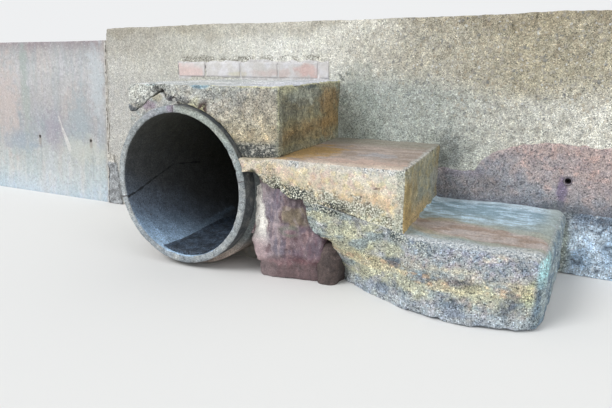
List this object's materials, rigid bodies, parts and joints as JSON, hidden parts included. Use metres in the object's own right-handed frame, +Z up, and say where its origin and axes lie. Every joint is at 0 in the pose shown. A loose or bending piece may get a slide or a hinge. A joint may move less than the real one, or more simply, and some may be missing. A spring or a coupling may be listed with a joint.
{
  "type": "culvert headwall",
  "caption": "Low leaning concrete retaining wall with a rebated pipe through it and stepped concrete blocks cast over and beside the pipe, packed with sandstone.",
  "frame": {"origin": "middle of the footprint at ground level", "axes": "+X right along the wall seen from the front, +Y from the front into the bank, +Z up"},
  "size_m": [4.66, 1.02, 1.04],
  "materials": {
    "smooth_concrete": "smooth form-marked concrete with pale streaks",
    "joint_filler": "dark ragged filler",
    "patch_mortar": "rough mortar",
    "aggregate_lower": "weathered exposed aggregate, greenish",
    "aggregate_upper": "weathered exposed aggregate, buff brown",
    "brick": "worn pink brick with mortar smears",
    "render": "old pink render with dark specks",
    "weep_pipe": "matt, stained",
    "pale_toe": "rough pale concrete",
    "pipe_concrete": "precast concrete, cracked and stained",
    "rough_concrete": "rough cast concrete",
    "crown_mortar": "lumpy reddish mortar",
    "top_step": "buff aggregate concrete with lichen",
    "middle_step": "cream and ochre concrete with lichen",
    "bottom_step": "rough lichen-covered concrete",
    "red_sandstone": "split red sandstone",
    "dark_stone": "dark rounded stone"
  },
  "bodies": {
    "root": {"left_wall_bay": "smooth_concrete", "bay_joint_filler": "joint_filler", "joint_foot_patch": "patch_mortar", "main_wall_lower_lift": "aggregate_lower", "main_wall_upper_lift": "aggregate_upper", "header_brick": "brick", "stretcher_brick_1": "brick", "stretcher_brick_2": "brick", "stretcher_brick_3": "brick", "end_bat": "brick", "brick_mortar": "patch_mortar", "render_coat": "render", "weep_pipe": "weep_pipe", "wall_toe": "pale_toe", "spigot_pipe": "pipe_concrete", "pipe_collar": "patch_mortar", "pipe_haunch": "rough_concrete", "crown_mortar": "crown_mortar", "top_step": "top_step", "middle_step": "middle_step", "bottom_step": "bottom_step", "sandstone_block": "red_sandstone", "backing_stone": "dark_stone", "stone_mortar": "patch_mortar", "rubble_core": "rough_concrete"}
  },
  "joints": []
}
